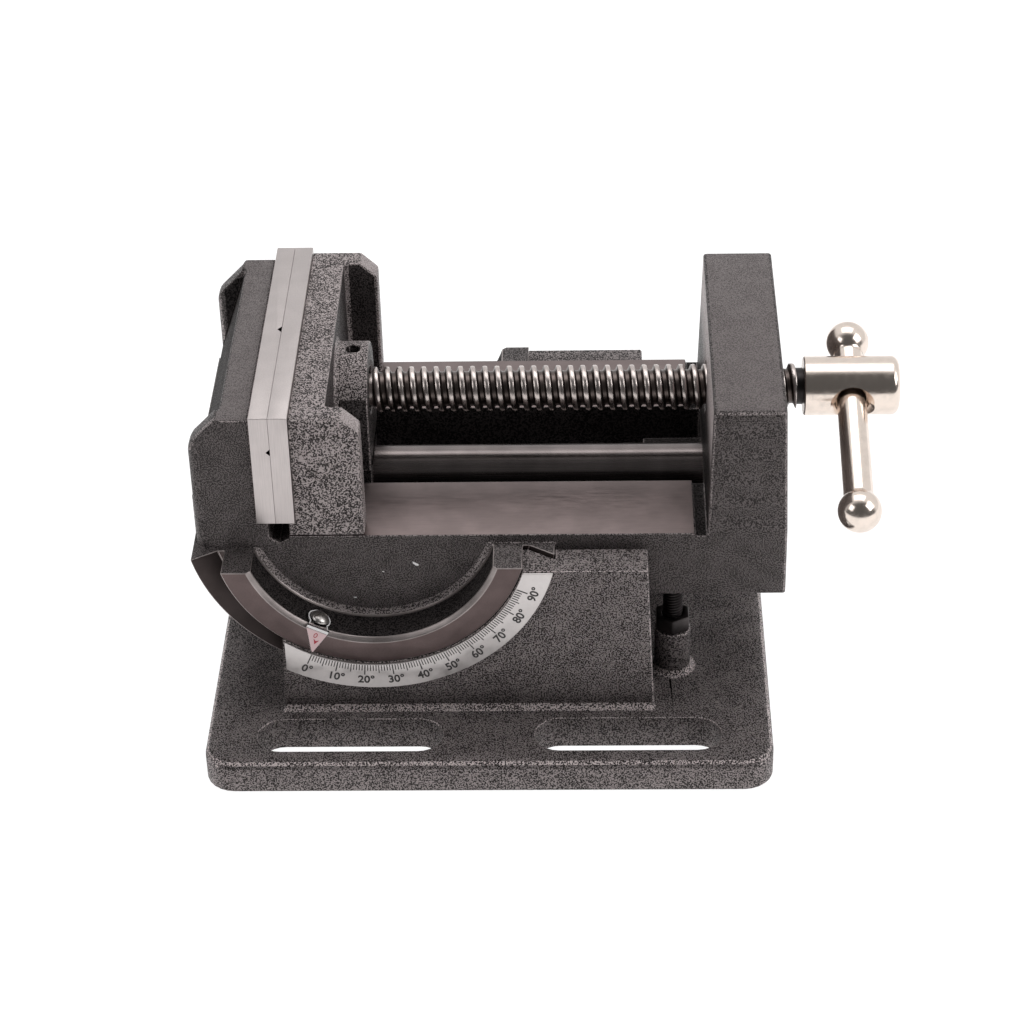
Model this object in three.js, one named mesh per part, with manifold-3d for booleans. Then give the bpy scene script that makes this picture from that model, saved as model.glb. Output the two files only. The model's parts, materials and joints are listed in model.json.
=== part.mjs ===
// Cradle-type tilting machine vise, 100 mm jaws, closed and level.
// Millimetres. X runs along the lead screw towards the handle, Y runs away from the scale side, +Z is up.
// The origin is the centre of the base's underside.
import * as THREE from 'three';
import { mergeVertices } from 'three/addons/utils/BufferGeometryUtils.js';
import Module from 'manifold-3d';

const wasm = await Module();
wasm.setup();

// ---------- driving dimensions ----------
const GAP = 0.3;                 // left between pieces that touch

const BASE = { halfX: 85.2, halfY: 88.3, thick: 11, cornerR: 9 };
const SLOT = { x: 41.8, y: 74.8, length: 56, width: 15 };
const TILT = { x: -33.9, z: 75.35 };          // axis of the cradle, along Y
const CHEEK = {
  x0: -62.5, topX0: -60.5, x1: 49.9, topX1: 47.9, inner: 50.65, outer: 62.1, top: 62, arcR: 46.7,
};
const POCKET = { footR: 48.1, footY: 50.64, rimR: 56.1, rimY: 55.95 };   // in the cheeks, round the flange
const SADDLE = { leftX: -54, rightX: 40, leftTop: 20, rightTop: 24 };    // walls between the cheeks
const SCALE = { r0: 46.8, r1: 55.45, thick: 0.8, left: -60.9, top: 61.8 };

const RING = { inner: 38, outer: CHEEK.arcR - GAP, face: 62.1, chamfer: 1.2 };
const FLANGE = { footR: 48.3, footY: CHEEK.inner - GAP, rimR: 55.6, rimY: 55.2 };     // conical
const CRADLE = { leftTop: 62, rightTop: 63.2 };
const BED = { halfY: 49, top: 66.1, under: 43.5, left: -86.8, right: 89.4 };
const TROUGH = { halfY: 20.8, left: -56, floor: 40 };
const HOLLOW = { x0: -78, x1: 8, halfY: 37, top: 33 };
const LUG = { x0: 47.5, y0: 0, y1: 12.5, top: 60 };              // behind the guide bar
const BOSS = { x0: 65.7, x0Top: 67, x1Top: 88.3, topHalfY: 47, top: 107 };

const JAW = { top: 107, wing: 7.5, archR: 15 };                 // chamfers are [along X, down Z]
const FIXED = {
  webX: -77, farY: 45.3, footX: -64.7, ledge: 71, bulgeLeft: -87.8, bulgeX: -87.5, bulgeTop: 76,
  chamfer: [8.8, 9],
};
const PLATE = { seam: -62.25, thick: 5.35, halfY: 50, z0: 71.3, z1: 108.4 };
const MOVING = { left: -56.45, web: -46.3, right: -36, ledge: -58.5, chamfer: [5.3, 5] };
const TONGUE = { right: -36.5, halfY: 11.5, z: 45.5 };          // runs in the trough, round the guide bar
const V_GROOVE = { z: 96.6, half: 1.1, depth: 1.1, uprightHalf: 1.6, uprightDepth: 1.2 };
const FOOT_GROOVE = { x0: FIXED.footX, x1: -58.6, z0: 65.4, depthZ: 63.7 };
const RELIEF = { x0: 61.9, depth: 1 };

const SCREW = { z: 86.5, r: 7, noseR: 5, nose: -46, shoulder: -35.5, end: 102 };
const NECK = { x0: 93.9, x1: 96, r: 5.6 };
const GROOVE = { x0: -43.4, x1: -38.6, r: 4 };
const PIN = { x: -41, r: 2, hole: 2.3, tip: 90.9, top: 98.5 };
const GUIDE = { z: 56.5, r: 8, x0: -77.5, x1: 88 };
const SET_SCREW = { x: 79, r: 3, z0: 44, z1: 48.1 };

const HUB = { x0: 96.2, x1: 125.2, r: 9.05, dome: 2.2, spigotR: 5, boreX: 102.6 };
const BAR = {
  x: 110.7, tilt: 18.6, r: 4.5, hole: 5.1, sinkR: 6.8, ballR: 6.6, socket: 4.1, near: -47.8, far: 17,
};

const STOP = { x: 55.8, y: 41, bossR: 5.5, bossTop: 26, r: 3, tip: BED.under - GAP, foot: 13, hole: 7 };
const NUT = { flats: 10, height: 5, boreR: 3.3 };
const LOCK = {
  x: 30, z: 31.5, r: 5, holeR: 5.6, holeEnd: -57, boltEnd: -56,
  headFlats: 17, head: 6.4, washerR: 10.5, washer: 2,
};

const CLAMP_SCREW = { y: 30, z: 85.5, r: 2.5, holeR: 2.8, headR: 5, rim: 0.4, length: 13 };
const POINTER = {
  angle: -26.6, width: 7.2, thick: 0.8, y0: -54.5, tip: 46, tipHalf: 0.4, tipSkew: 1.8,
};
const POINTER_SCREW = { y: -58.4, r: 1.4, headR: 2.9, dome: 0.62, end: -43.5 };

const WIDE = 70;                 // past the vise's width on either side, for cutters
const ROUND = 40;                // facets on a full round of ordinary size
const CRADLE_FACETS = 120;       // facets on a full round about the tilt axis

// ---------- shape helpers ----------
function solidOf(geometry) {
  const bare = geometry.index ? geometry : geometry.clone();
  bare.deleteAttribute('normal');
  bare.deleteAttribute('uv');
  const merged = mergeVertices(bare, 1e-4);
  return new wasm.Manifold(new wasm.Mesh({
    numProp: 3,
    vertProperties: new Float32Array(merged.attributes.position.array),
    triVerts: new Uint32Array(merged.index.array),
  }));
}

function geometryOf(solid) {
  const mesh = solid.getMesh();
  const geometry = new THREE.BufferGeometry();
  geometry.setAttribute('position', new THREE.BufferAttribute(new Float32Array(mesh.vertProperties), 3));
  geometry.setIndex(new THREE.BufferAttribute(new Uint32Array(mesh.triVerts), 1));
  geometry.computeVertexNormals();
  return geometry;
}

function box(x0, x1, y0, y1, z0, z1) {
  const geometry = new THREE.BoxGeometry(x1 - x0, y1 - y0, z1 - z0);
  geometry.translate((x0 + x1) / 2, (y0 + y1) / 2, (z0 + z1) / 2);
  return solidOf(geometry);
}

function extrude(outline, depth, holes = []) {
  const shape = new THREE.Shape(outline.map(([a, b]) => new THREE.Vector2(a, b)));
  shape.holes = holes.map((hole) => new THREE.Path(hole.map(([a, b]) => new THREE.Vector2(a, b))));
  return new THREE.ExtrudeGeometry(shape, { depth, bevelEnabled: false, curveSegments: ROUND });
}

// an outline of [x, y] points, from z0 up to z1
function prismZ(outline, z0, z1, holes) {
  return solidOf(extrude(outline, z1 - z0, holes).translate(0, 0, z0));
}

// an outline of [x, z] points, from y0 to y1
function prismY(outline, y0, y1) {
  return solidOf(extrude(outline, y1 - y0).rotateX(Math.PI / 2).translate(0, y1, 0));
}

// an outline of [y, z] points, from x0 to x1
function prismX(outline, x0, x1) {
  const geometry = extrude(outline, x1 - x0);
  geometry.rotateX(Math.PI / 2).rotateZ(Math.PI / 2);
  return solidOf(geometry.translate(x0, 0, 0));
}

// a solid of revolution: [radius, height] points that start and end on the axis, turned to lie along an axis
function turned(profile, axis, centre, segments = ROUND) {
  const geometry = new THREE.LatheGeometry(profile.map(([r, h]) => new THREE.Vector2(r, h)), segments);
  if (axis === 'x') geometry.rotateZ(-Math.PI / 2);
  if (axis === 'z') geometry.rotateX(Math.PI / 2);
  return solidOf(geometry.translate(...centre));
}

function rod(axis, r, from, to, centre, segments) {
  return turned([[0, from], [r, from], [r, to], [0, to]], axis, centre, segments);
}

// points on a circle in a plane, with angles in degrees from the first axis towards the second
function arc(cx, cy, r, from, to, step) {
  const count = Math.max(2, Math.ceil(Math.abs(to - from) / step));
  return Array.from({ length: count + 1 }, (_, i) => {
    const angle = THREE.MathUtils.degToRad(from + ((to - from) * i) / count);
    return [cx + r * Math.cos(angle), cy + r * Math.sin(angle)];
  });
}

function circle(cx, cy, r, step = 6) {
  return arc(cx, cy, r, 0, 360 - step, step);
}

function roundedRect(halfX, halfY, r) {
  return [
    ...arc(halfX - r, halfY - r, r, 0, 90, 15),
    ...arc(r - halfX, halfY - r, r, 90, 180, 15),
    ...arc(r - halfX, r - halfY, r, 180, 270, 15),
    ...arc(halfX - r, r - halfY, r, 270, 360, 15),
  ];
}

function stadium(cx, cy, length, width) {
  const reach = (length - width) / 2;
  return [
    ...arc(cx + reach, cy, width / 2, -90, 90, 15),
    ...arc(cx - reach, cy, width / 2, 90, 270, 15),
  ];
}

function hexagon(flats) {
  return arc(0, 0, flats / Math.sqrt(3), 30, 330, 60);
}

// a turned shape about the tilt axis: [radius, distance from the middle] points, the same on both sides
function turnedAboutTilt(side) {
  const near = side.map(([r, y]) => [r, -y]);
  const far = [...side].reverse();
  const reach = side[0][1];
  return turned([[0, -reach], ...near, ...far, [0, reach]], 'y', [TILT.x, 0, TILT.z], CRADLE_FACETS);
}

// the same feature on the scale side and on the far side
function bothSides(make) {
  return make(-1).add(make(1));
}

// ---------- base ----------
function baseCasting() {
  const slots = [-1, 1].flatMap((sx) => [-1, 1].map((sy) =>
    stadium(sx * SLOT.x, sy * SLOT.y, SLOT.length, SLOT.width)));
  const slab = prismZ(roundedRect(BASE.halfX, BASE.halfY, BASE.cornerR), 0, BASE.thick, slots);
  const below = BASE.thick - 1;
  const cheek = [
    [CHEEK.x0, below], [CHEEK.x1, below], [CHEEK.topX1, CHEEK.top], [CHEEK.topX0, CHEEK.top],
  ];
  const cheeks = bothSides((side) => prismY(cheek, ...(side < 0
    ? [-CHEEK.outer, -CHEEK.inner] : [CHEEK.inner, CHEEK.outer])))
    .subtract(turnedAboutTilt([[CHEEK.arcR, WIDE], [CHEEK.arcR, POCKET.footY], [POCKET.footR, POCKET.footY],
      [POCKET.rimR, POCKET.rimY]]));
  const reach = CHEEK.inner + 1;
  const leftWall = box(CHEEK.x0 + 1, SADDLE.leftX, -reach, reach, below, SADDLE.leftTop);
  const rightWall = box(SADDLE.rightX, CHEEK.x1 - 0.5, -reach, reach, below, SADDLE.rightTop);
  const stopBosses = bothSides((side) =>
    rod('z', STOP.bossR, below, STOP.bossTop, [STOP.x, side * STOP.y, 0]));
  const stopHoles = bothSides((side) =>
    rod('z', STOP.r + GAP, STOP.hole, STOP.bossTop + 1, [STOP.x, side * STOP.y, 0], 24));
  const lockHole = rod('y', LOCK.holeR, LOCK.holeEnd, CHEEK.outer + 1, [LOCK.x, 0, LOCK.z], 24);
  return slab.add(cheeks).add(leftWall).add(rightWall).add(stopBosses).subtract(stopHoles).subtract(lockHole);
}

function scalePlate() {
  const back = -CHEEK.outer - GAP;
  const front = back - SCALE.thick;
  const centre = [TILT.x, 0, TILT.z];
  const ring = rod('y', SCALE.r1, front, back, centre, CRADLE_FACETS)
    .subtract(rod('y', SCALE.r0, front - 1, back + 1, centre, CRADLE_FACETS));
  return ring.intersect(box(SCALE.left, CHEEK.x1, -WIDE, 0, 0, SCALE.top));
}

function stopScrew() {
  return rod('z', STOP.r, STOP.foot, STOP.tip, [0, 0, 0], 24);
}

function hexNut() {
  return prismZ(hexagon(NUT.flats), 0, NUT.height, [circle(0, 0, NUT.boreR, 15)]);
}

function lockBolt() {
  const seat = CHEEK.outer + 2 * GAP + LOCK.washer;
  const head = solidOf(extrude(hexagon(LOCK.headFlats), LOCK.head).rotateX(-Math.PI / 2)
    .translate(0, seat, 0));
  return rod('y', LOCK.r, LOCK.boltEnd, seat + 1, [0, 0, 0], 24).add(head);
}

function lockWasher() {
  const face = CHEEK.outer + GAP;
  return rod('y', LOCK.washerR, face, face + LOCK.washer, [0, 0, 0], 32)
    .subtract(rod('y', LOCK.holeR, face - 1, face + LOCK.washer + 1, [0, 0, 0], 24));
}

// ---------- tilting body ----------
// a jaw's outline in XZ with one top corner cut off: the left one for side -1, the right one for side 1
function jawOutline(left, right, z0, side, [run, drop]) {
  const { top } = JAW;
  const corners = side > 0 ? [[right, top - drop], [right - run, top], [left, top]]
    : [[right, top], [left + run, top], [left, top - drop]];
  return [[left, z0], [right, z0], ...corners];
}

function fixedJaw() {
  const back = PLATE.seam - GAP / 2 - PLATE.thick - GAP;
  const outline = jawOutline(BED.left, back, BED.top - 4, -1, FIXED.chamfer);
  const [near, far] = [-BED.halfY, FIXED.farY];
  const [recessNear, recessFar] = [near + JAW.wing, far - JAW.wing];
  const recess = [[BED.left - 5, FIXED.bulgeTop], [FIXED.bulgeX, FIXED.bulgeTop],
    [FIXED.webX, JAW.top], [FIXED.webX, JAW.top + 1], [BED.left - 5, JAW.top + 1]];
  const bulge = box(FIXED.bulgeLeft, FIXED.webX, recessNear, recessFar, CRADLE.leftTop - 0.2, FIXED.bulgeTop);
  const foot = box(back - 1, FIXED.footX, near, BED.halfY, BED.top - 4, FIXED.ledge);
  return prismY(outline, near, far).subtract(prismY(recess, recessNear, recessFar)).add(bulge).add(foot);
}

function screwBoss() {
  const half = BED.halfY;
  const across = [[-half, BED.under], [half, BED.under], [half, BED.top], [BOSS.topHalfY, BOSS.top],
    [-BOSS.topHalfY, BOSS.top], [-half, BED.top]];
  const along = [[BOSS.x0, BED.under], [BED.right, BED.under], [BED.right, BED.top], [BOSS.x1Top, BOSS.top],
    [BOSS.x0Top, BOSS.top], [BOSS.x0, BED.top]];
  return prismX(across, BOSS.x0 - 1, BED.right + 1).intersect(prismY(along, -WIDE, WIDE));
}

// the pointer is drawn straight below the tilt axis, then turned about it
function pointerFrame() {
  const turn = new THREE.Matrix4().makeRotationY(-THREE.MathUtils.degToRad(POINTER.angle));
  return turn.setPosition(TILT.x, 0, TILT.z);
}

// two rings that turn in the cheeks, each with a conical flange behind it, joined by a barrel
function cradle() {
  const { inner, outer, face, chamfer } = RING;
  const { footR, footY, rimR, rimY } = FLANGE;
  const round = turnedAboutTilt([[inner, BED.halfY], [inner, face - chamfer], [inner + chamfer, face],
    [outer, face], [outer, footY], [footR, footY], [rimR, rimY]]);
  const reach = rimR + 1;
  const below = [[TILT.x - reach, 0], [TILT.x + reach, 0], [TILT.x + reach, CRADLE.rightTop],
    [TILT.x, CRADLE.rightTop], [TILT.x, CRADLE.leftTop], [TILT.x - reach, CRADLE.leftTop]];
  return round.intersect(prismY(below, -WIDE, WIDE));
}

function viseBody() {
  const half = BED.halfY;
  const leftBed = box(BED.left, TILT.x, -half, half, CRADLE.leftTop - 1, BED.top);
  const rightBed = box(TILT.x, BOSS.x0 + 1, -half, half, BED.under, BED.top);
  const trough = box(TROUGH.left, BOSS.x0, -TROUGH.halfY, TROUGH.halfY, TROUGH.floor, BED.top + 1);
  const hollow = box(HOLLOW.x0, HOLLOW.x1, -HOLLOW.halfY, HOLLOW.halfY, 0, HOLLOW.top);
  const footGroove = prismY([[FOOT_GROOVE.x0, BED.top + 1], [FOOT_GROOVE.x0, FOOT_GROOVE.z0],
    [(FOOT_GROOVE.x0 + FOOT_GROOVE.x1) / 2, FOOT_GROOVE.depthZ], [FOOT_GROOVE.x1, FOOT_GROOVE.z0],
    [FOOT_GROOVE.x1, BED.top + 1]], -WIDE, WIDE);
  const relief = box(RELIEF.x0, BOSS.x0, -WIDE, WIDE, BED.top - RELIEF.depth, BED.top + 1);
  const lug = box(LUG.x0, BOSS.x0 + 1, LUG.y0, LUG.y1, BED.under, LUG.top);

  const bed = cradle().add(leftBed).add(rightBed);
  const cut = bed.subtract(trough).subtract(hollow).subtract(footGroove).subtract(relief);
  const casting = cut.add(lug).add(fixedJaw()).add(screwBoss());

  const screwBore = rod('x', SCREW.r + GAP, BOSS.x0 - 5, BED.right + 5, [0, 0, SCREW.z]);
  const guideBore = rod('x', GUIDE.r + GAP, GUIDE.x0 - GAP, BED.right + 5, [0, 0, GUIDE.z]);
  const setBore = rod('z', SET_SCREW.r + GAP, BED.under - 5, GUIDE.z, [SET_SCREW.x, 0, 0], 24);
  const clampHoles = bothSides((side) => rod('x', CLAMP_SCREW.holeR,
    PLATE.seam - CLAMP_SCREW.length - 1, PLATE.seam, [0, side * CLAMP_SCREW.y, CLAMP_SCREW.z], 20));
  const pointerHole = rod('z', POINTER_SCREW.r + GAP, POINTER_SCREW.end - 1, 1 - RING.inner,
    [0, POINTER_SCREW.y, 0], 16).transform(pointerFrame().elements);
  return casting.subtract(screwBore).subtract(guideBore).subtract(setBore).subtract(clampHoles)
    .subtract(pointerHole);
}

// a jaw plate with its two countersunk holes; face is the seam side and outward points away from it
function jawPlate(outward, grooved) {
  const face = PLATE.seam + outward * GAP / 2;
  const back = face + outward * PLATE.thick;
  const slab = box(Math.min(face, back), Math.max(face, back), -PLATE.halfY, PLATE.halfY, PLATE.z0, PLATE.z1);
  const sinks = bothSides((side) => countersunk(outward, CLAMP_SCREW.holeR, CLAMP_SCREW.headR + GAP, 20, -1)
    .translate([face, side * CLAMP_SCREW.y, CLAMP_SCREW.z]));
  const plate = slab.subtract(sinks);
  if (!grooved) return plate;
  const { z, half, depth, uprightHalf, uprightDepth } = V_GROOVE;
  const across = prismY([[face, z - half], [face + outward * depth, z], [face, z + half],
    [face - outward, z]], -WIDE, WIDE);
  const upright = prismZ([[face, -uprightHalf], [face + outward * uprightDepth, 0], [face, uprightHalf],
    [face - outward, 0]], PLATE.z0 - 1, PLATE.z1 + 1);
  return plate.subtract(across).subtract(upright);
}

// a countersunk screw shape along X from its head face, with extra length before the face
function countersunk(outward, r, headR, length, start = 0) {
  const cone = headR - r;
  const { rim } = CLAMP_SCREW;
  const profile = [[0, start], [headR, start], [headR, rim], [r, rim + cone], [r, length], [0, length]];
  const shape = turned(profile, 'x', [0, 0, 0], 24);
  return outward > 0 ? shape : shape.rotate([0, 0, 180]);
}

function clampScrew(outward) {
  return countersunk(outward, CLAMP_SCREW.r, CLAMP_SCREW.headR, CLAMP_SCREW.length);
}

function pointerPlate() {
  const { tip, tipHalf, tipSkew } = POINTER;
  const half = POINTER.width / 2;
  const base = -(RING.inner - GAP);
  const inside = base + POINTER.thick;
  const front = -(RING.face + GAP);
  const outside = front - POINTER.thick;
  const blade = prismY([[-half, inside], [half, inside], [half, base], [tipSkew + tipHalf, -tip],
    [tipSkew - tipHalf, -tip], [-half, base]], outside, front);
  const tab = box(-half, half, outside, POINTER.y0, base, inside);
  const hole = rod('z', POINTER_SCREW.r + GAP, base - 1, inside + 1, [0, POINTER_SCREW.y, 0], 16);
  return blade.add(tab).subtract(hole);
}

function pointerScrew() {
  const seat = -(RING.inner - GAP) + POINTER.thick + GAP;
  const { y, r, headR, dome, end } = POINTER_SCREW;
  const head = arc(0, 0, headR, 0, 80, 20).map(([a, b]) => [a, seat + b * dome]);
  return turned([[0, end], [r, end], [r, seat], ...head, [0, seat + headR * dome]], 'z', [0, y, 0], 20);
}

function guideBar() {
  return rod('x', GUIDE.r, GUIDE.x0, GUIDE.x1, [0, 0, GUIDE.z]);
}

function setScrew() {
  return rod('z', SET_SCREW.r, SET_SCREW.z0, SET_SCREW.z1, [SET_SCREW.x, 0, 0], 24);
}

// ---------- moving jaw ----------
function movingJaw() {
  const bottom = BED.top + GAP;
  const half = BED.halfY;
  const wingY = half - JAW.wing;
  const outline = jawOutline(MOVING.left, MOVING.right, bottom, 1, MOVING.chamfer);
  const pocket = box(MOVING.web, MOVING.right + 1, -wingY, wingY, bottom - 1, JAW.top + 1);
  const arch = [[-JAW.archR, bottom], [JAW.archR, bottom], ...arc(0, SCREW.z, JAW.archR, 0, 180, 10)];
  const block = prismX(arch, MOVING.web - 1, MOVING.right - GAP);
  const tongue = box(MOVING.web - 1, TONGUE.right, -TONGUE.halfY, TONGUE.halfY, TONGUE.z, bottom + 1);
  const ledge = box(MOVING.ledge, MOVING.left + 1, -half, half, bottom, FIXED.ledge);
  const casting = prismY(outline, -half, half).subtract(pocket).add(block).add(tongue).add(ledge);
  const screwBore = rod('x', SCREW.r + GAP, SCREW.nose - GAP, MOVING.right + 5, [0, 0, SCREW.z]);
  const guideBore = rod('x', GUIDE.r + GAP, MOVING.web - 5, MOVING.right + 5, [0, 0, GUIDE.z]);
  const pinHole = rod('z', PIN.hole, SCREW.z, SCREW.z + JAW.archR + 1, [PIN.x, 0, 0], 20);
  const clampHoles = bothSides((side) => rod('x', CLAMP_SCREW.holeR,
    PLATE.seam, PLATE.seam + CLAMP_SCREW.length + 1, [0, side * CLAMP_SCREW.y, CLAMP_SCREW.z], 20));
  return casting.subtract(screwBore).subtract(guideBore).subtract(pinHole).subtract(clampHoles);
}

function retainingPin() {
  return rod('z', PIN.r, PIN.tip, PIN.top, [PIN.x, 0, 0], 20);
}

// ---------- screw and handle, about the screw's own axis ----------
function leadScrew() {
  return turned([
    [0, SCREW.nose], [SCREW.noseR, SCREW.nose], [SCREW.noseR, GROOVE.x0], [GROOVE.r, GROOVE.x0],
    [GROOVE.r, GROOVE.x1], [SCREW.noseR, GROOVE.x1], [SCREW.noseR, SCREW.shoulder], [SCREW.r, SCREW.shoulder],
    [SCREW.r, NECK.x0], [NECK.r, NECK.x0], [NECK.r, NECK.x1], [HUB.spigotR, NECK.x1],
    [HUB.spigotR, SCREW.end], [0, SCREW.end],
  ], 'x', [0, 0, 0]);
}

function handleHub() {
  const { x0, x1, r, dome, boreX, spigotR } = HUB;
  const rim = arc(x1 - dome, r - dome, dome, 90, 30, 20).map(([a, b]) => [b, a]);
  const body = turned([[0, x0], [r, x0], ...rim, [0, x1]], 'x', [0, 0, 0]);
  const bore = rod('x', spigotR + GAP, x0 - 1, boreX, [0, 0, 0], 32);
  const cross = rod('y', BAR.hole, -20, 20, [BAR.x, 0, 0], 32);
  const sink = (side) => {
    const mouth = BAR.sinkR - BAR.hole;
    const cone = turned([[0, 0], [BAR.hole, 0], [BAR.hole, r - mouth], [BAR.sinkR + 1, r + 1], [0, r + 1]],
      'y', [0, 0, 0], 32);
    return (side > 0 ? cone : cone.rotate([180, 0, 0])).translate([BAR.x, 0, 0]);
  };
  return body.subtract(bore).subtract(cross).subtract(bothSides(sink));
}

function handleBar() {
  return rod('y', BAR.r, BAR.near + BAR.socket, BAR.far - BAR.socket, [BAR.x, 0, 0], 28);
}

// a ball with a blind socket that takes the end of the bar
function handleBall(y, side) {
  const { ballR, r } = BAR;
  const profile = arc(0, 0, ballR, -90, 90, 12).map(([a, b]) => [Math.max(a, 0), b]);
  profile[0][0] = 0;
  profile[profile.length - 1][0] = 0;
  const ball = turned(profile, 'y', [BAR.x, y, 0], 28);
  const mouth = y - side * (ballR + 1);
  const floor = y - side * (BAR.socket - GAP);
  return ball.subtract(rod('y', r + GAP, Math.min(mouth, floor), Math.max(mouth, floor), [BAR.x, 0, 0], 28));
}

// ---------- materials ----------
const FINISH = {
  hammered: [0x4a484a, 0.5, 0.3], ground: [0xb4aeac, 0.35, 0.9], machined: [0x5c5352, 0.45, 0.7],
  black: [0x26242a, 0.5, 0.5], nickel: [0xcfc0b4, 0.15, 1], scale: [0xd0cdca, 0.45, 0.3],
  clear: [0xf2dede, 0.2, 0], bright: [0xc4c0bc, 0.25, 1],
};

function part(name, solid, finish) {
  const [color, roughness, metalness] = FINISH[finish];
  const material = new THREE.MeshStandardMaterial({ color, roughness, metalness, flatShading: true });
  const mesh = new THREE.Mesh(geometryOf(solid), material);
  mesh.name = name;
  return mesh;
}

function at(mesh, x, y, z) {
  mesh.position.set(x, y, z);
  return mesh;
}

// ---------- assembly ----------
const base = new THREE.Group();
base.add(part('base_casting', baseCasting(), 'hammered'));
base.add(part('scale_plate', scalePlate(), 'scale'));
for (const [end, side] of [['front', -1], ['rear', 1]]) {
  base.add(at(part(`stop_screw_${end}`, stopScrew(), 'black'), STOP.x, side * STOP.y, 0));
  base.add(at(part(`stop_nut_${end}`, hexNut(), 'black'), STOP.x, side * STOP.y, STOP.bossTop + GAP));
}
base.add(at(part('tilt_lock_bolt', lockBolt(), 'black'), LOCK.x, 0, LOCK.z));
base.add(at(part('tilt_lock_washer', lockWasher(), 'bright'), LOCK.x, 0, LOCK.z));

const body = new THREE.Group();
body.add(part('vise_body', viseBody(), 'hammered'));
body.add(part('fixed_jaw_plate', jawPlate(-1, true), 'ground'));
body.add(part('guide_bar', guideBar(), 'ground'));
body.add(part('guide_bar_set_screw', setScrew(), 'black'));
const pointer = new THREE.Group();
pointer.applyMatrix4(pointerFrame());
pointer.add(part('pointer', pointerPlate(), 'clear'));
pointer.add(part('pointer_screw', pointerScrew(), 'bright'));
body.add(pointer);

const slide = new THREE.Group();
slide.add(part('moving_jaw', movingJaw(), 'hammered'));
slide.add(part('moving_jaw_plate', jawPlate(1, false), 'ground'));
slide.add(part('screw_retaining_pin', retainingPin(), 'black'));
for (const [end, side] of [['front', -1], ['rear', 1]]) {
  const place = [side * CLAMP_SCREW.y, CLAMP_SCREW.z];
  body.add(at(part(`fixed_plate_screw_${end}`, clampScrew(-1), 'black'), PLATE.seam - GAP, ...place));
  slide.add(at(part(`moving_plate_screw_${end}`, clampScrew(1), 'black'), PLATE.seam + GAP, ...place));
}

const turning = new THREE.Group();
turning.position.set(0, 0, SCREW.z);
turning.rotation.x = THREE.MathUtils.degToRad(BAR.tilt);
turning.add(part('lead_screw', leadScrew(), 'nickel'));
turning.add(part('handle_hub', handleHub(), 'nickel'));
turning.add(part('handle_bar', handleBar(), 'nickel'));
turning.add(part('handle_ball_front', handleBall(BAR.near, -1), 'nickel'));
turning.add(part('handle_ball_rear', handleBall(BAR.far, 1), 'nickel'));

const vise = new THREE.Group();
vise.add(base, body, slide, turning);

export default vise;
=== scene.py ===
import json
from math import atan2, copysign, cos, hypot, pi, radians, sin, sqrt

import bmesh
import bpy
from mathutils import Matrix, Vector


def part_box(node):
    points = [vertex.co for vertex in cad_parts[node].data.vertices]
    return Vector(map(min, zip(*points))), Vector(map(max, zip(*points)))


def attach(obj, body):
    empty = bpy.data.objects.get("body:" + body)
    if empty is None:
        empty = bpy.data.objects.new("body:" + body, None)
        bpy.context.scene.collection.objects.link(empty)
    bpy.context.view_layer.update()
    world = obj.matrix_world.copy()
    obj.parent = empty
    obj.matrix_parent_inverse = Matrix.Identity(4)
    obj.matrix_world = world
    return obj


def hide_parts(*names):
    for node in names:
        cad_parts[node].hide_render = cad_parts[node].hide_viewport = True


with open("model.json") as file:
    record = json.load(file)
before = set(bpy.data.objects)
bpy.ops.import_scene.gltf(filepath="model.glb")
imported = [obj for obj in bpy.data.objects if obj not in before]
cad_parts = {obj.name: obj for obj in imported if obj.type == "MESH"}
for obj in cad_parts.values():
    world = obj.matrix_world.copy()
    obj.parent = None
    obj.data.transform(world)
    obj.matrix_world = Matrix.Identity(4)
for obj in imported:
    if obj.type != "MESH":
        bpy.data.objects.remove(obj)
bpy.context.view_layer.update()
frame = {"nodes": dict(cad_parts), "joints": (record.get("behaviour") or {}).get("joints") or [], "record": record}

MM = 0.001
JOINTS = {joint["name"]: joint for joint in frame["joints"]}
TILT = Vector(JOINTS["tilt"]["pos_m"])              # the cradle's axis, along Y
SCREW_AXIS = Vector(JOINTS["screw_turn"]["pos_m"])  # a point on the lead screw's axis, along X
BAR_AXIS = Vector(JOINTS["handle_slide"]["axis"])   # the handle bar's direction
PITCH = 2 * pi / frame["record"]["behaviour"]["couplings"][0]["ratio"]


# ---------- material recipes ----------
def new_material(name):
    material = bpy.data.materials.new(name)
    material.use_nodes = True
    return material, material.node_tree, material.node_tree.nodes["Principled BSDF"]


def node(tree, kind, inputs, **settings):
    """A shader node whose inputs are set by number or name, to a value or to another node's output."""
    made = tree.nodes.new("ShaderNode" + kind)
    for key, value in settings.items():
        setattr(made, key, value)
    for key, value in inputs.items():
        if isinstance(value, bpy.types.NodeSocket):
            tree.links.new(value, made.inputs[key])
        else:
            made.inputs[key].default_value = value
    return made


def noise(tree, size, detail=2.0, stretch=(1, 1, 1)):
    """Noise whose blobs are about size across, in metres, drawn out by stretch along each axis."""
    place = node(tree, "TexCoord", {}).outputs["Object"]
    scale = [1 / (size * s) for s in stretch]
    mapping = node(tree, "Mapping", {"Vector": place, "Scale": scale})
    return node(tree, "TexNoise", {"Vector": mapping.outputs[0], "Scale": 1.0, "Detail": detail}).outputs[0]


def ramp(tree, value, low, high, to_low=0.0, to_high=1.0):
    """value between low and high, eased to run from to_low to to_high."""
    inputs = {"Value": value, "From Min": low, "From Max": high, "To Min": to_low, "To Max": to_high}
    return node(tree, "MapRange", inputs, interpolation_type="SMOOTHSTEP").outputs[0]


def blend(tree, factor, a, b, mode="MIX"):
    return node(tree, "Mix", {0: factor, 6: a, 7: b}, data_type="RGBA", blend_type=mode).outputs[2]


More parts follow.
